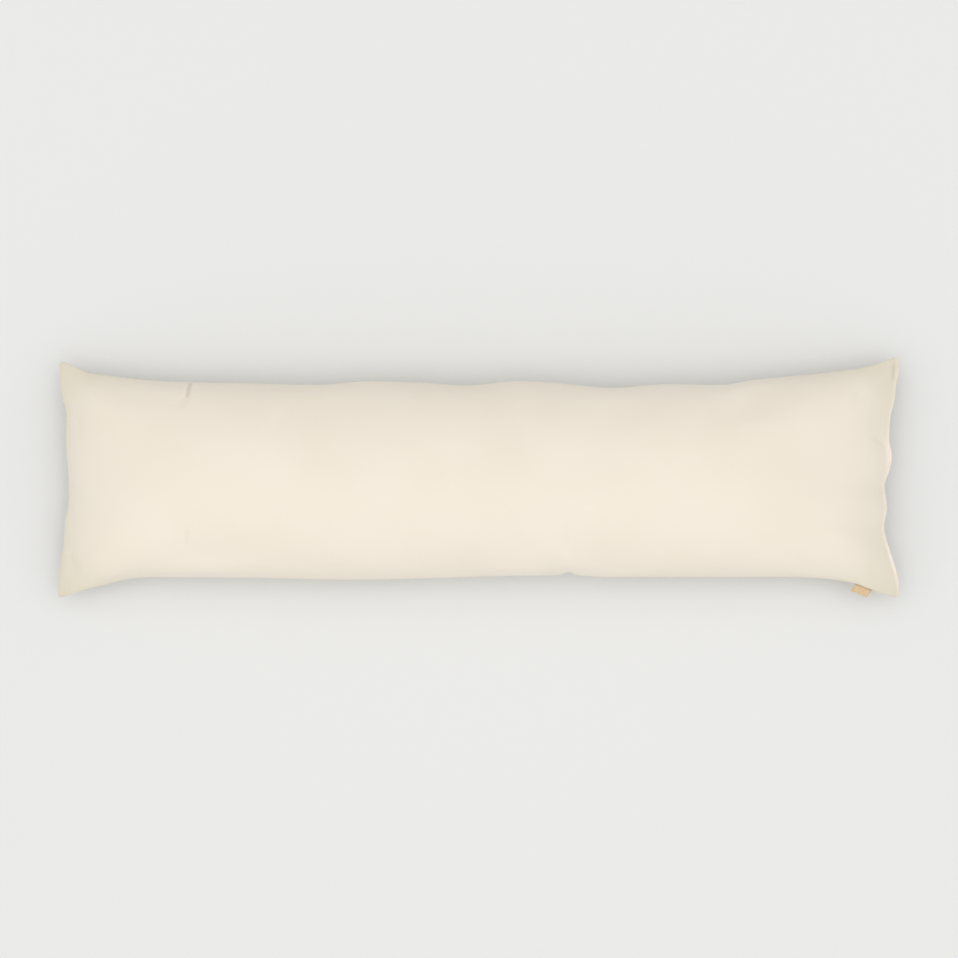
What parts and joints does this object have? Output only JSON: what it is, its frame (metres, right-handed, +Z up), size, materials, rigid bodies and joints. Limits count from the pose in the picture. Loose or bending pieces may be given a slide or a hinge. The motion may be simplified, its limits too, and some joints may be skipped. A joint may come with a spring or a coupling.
{
  "type": "lumbar pillow insert",
  "caption": "Long narrow pillow insert in plain cream cotton, softly filled, with pointed corners, drawn-in sides and a small folded side label.",
  "frame": {"origin": "under the middle of the whole object, on the surface that it lies on", "axes": "+X along the pillow to its closing seam, +Y across it to the long seam without the label, +Z up out of its face"},
  "size_m": [1.258, 0.3586, 0.1495],
  "materials": {
    "cream_cotton": "matt plain-weave cotton, unbleached cream, with a soft fuzz",
    "tan_ribbon": "fine woven ribbon, warm tan, slightly smooth"
  },
  "bodies": {
    "root": {"pillow_body": "cream_cotton", "side_label": "tan_ribbon"}
  },
  "joints": []
}
